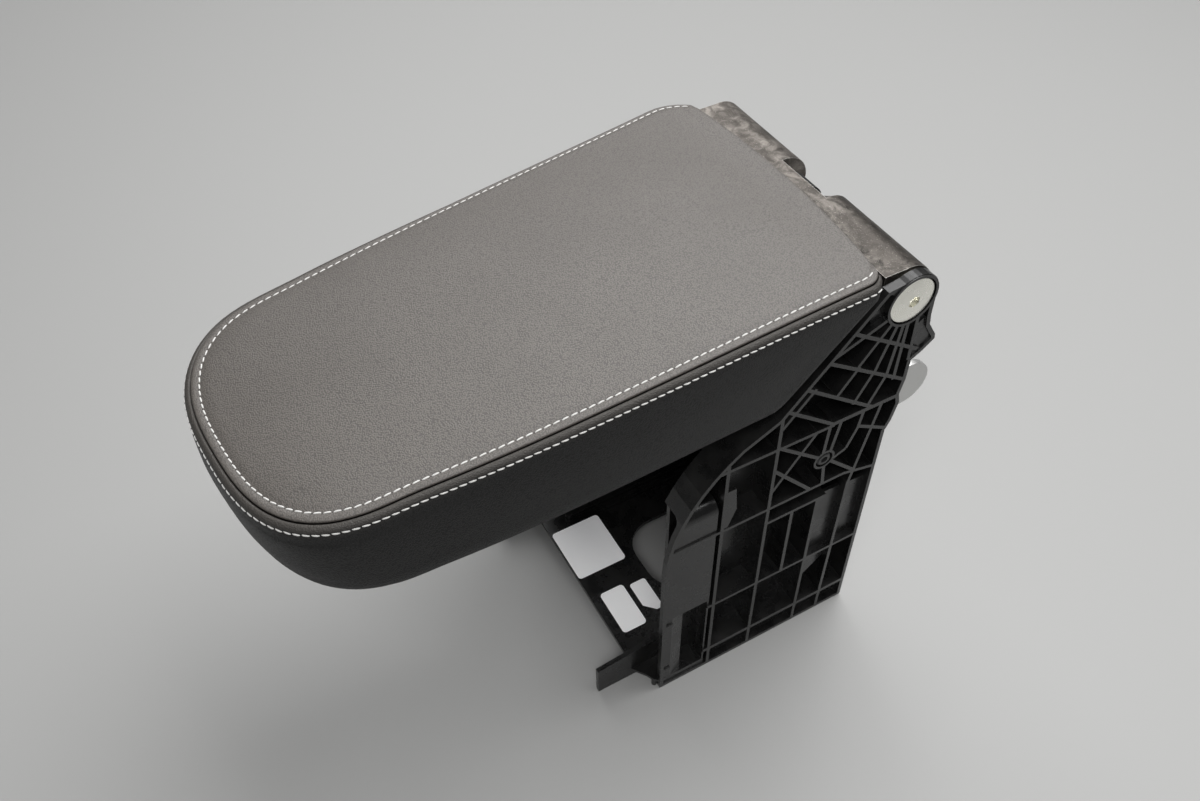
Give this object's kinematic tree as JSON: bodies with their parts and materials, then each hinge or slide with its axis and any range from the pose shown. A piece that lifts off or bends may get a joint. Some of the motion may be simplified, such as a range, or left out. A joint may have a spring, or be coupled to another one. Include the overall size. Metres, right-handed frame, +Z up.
{
  "type": "car centre armrest",
  "caption": "Padded leather centre armrest that lifts on a cast hinge at the top of a ribbed moulded bracket for a car's centre console.",
  "frame": {"origin": "centre of the rectangle of fixing holes, on the plane that the bracket stands on", "axes": "+Z up, +Y towards the rear (hinge side), +X towards the right-hand wall; the pad points along -Y"},
  "size_m": [0.1519, 0.3009, 0.2457],
  "materials": {
    "bracket_plastic": "satin black moulding",
    "pad_plastic": "fine-grained black moulding",
    "hub_plastic": "satin",
    "bearing_plastic": "smooth",
    "die_casting": "raw mottled casting",
    "steel": "ground",
    "zinc_steel": "bright zinc plating",
    "black_screw": "black coating",
    "rubber": "matte",
    "label_paper": "bare white label stock",
    "foam": "moulded foam",
    "leather_top": "fine-grained, light stitching",
    "leather_side": "fine-grained"
  },
  "bodies": {
    "bracket": {"bracket_frame": "bracket_plastic", "hinge_axle": "steel", "hinge_bolts": "zinc_steel", "thrust_washers": "bearing_plastic", "friction_hub": "hub_plastic", "stop_buffers": "rubber", "rear_stay": "zinc_steel", "stay_screws": "zinc_steel", "side_screws": "black_screw", "label_large": "label_paper", "label_medium": "label_paper", "label_small": "label_paper"},
    "armrest": {"hinge_casting": "die_casting", "axle_bushes": "bearing_plastic", "casting_screws": "zinc_steel", "pad_carrier": "pad_plastic", "underside_cover": "pad_plastic", "cover_screws": "black_screw", "pad_foam": "foam", "cover_top": "leather_top", "cover_side": "leather_side", "cover_rear": "leather_side"}
  },
  "joints": [
    {"name": "armrest_lift", "type": "hinge", "parent": "bracket", "child": "armrest", "pos_m": [0, 0.045, 0.224], "axis": [-1, 0, 0], "range_deg": [0, 85]}
  ]
}
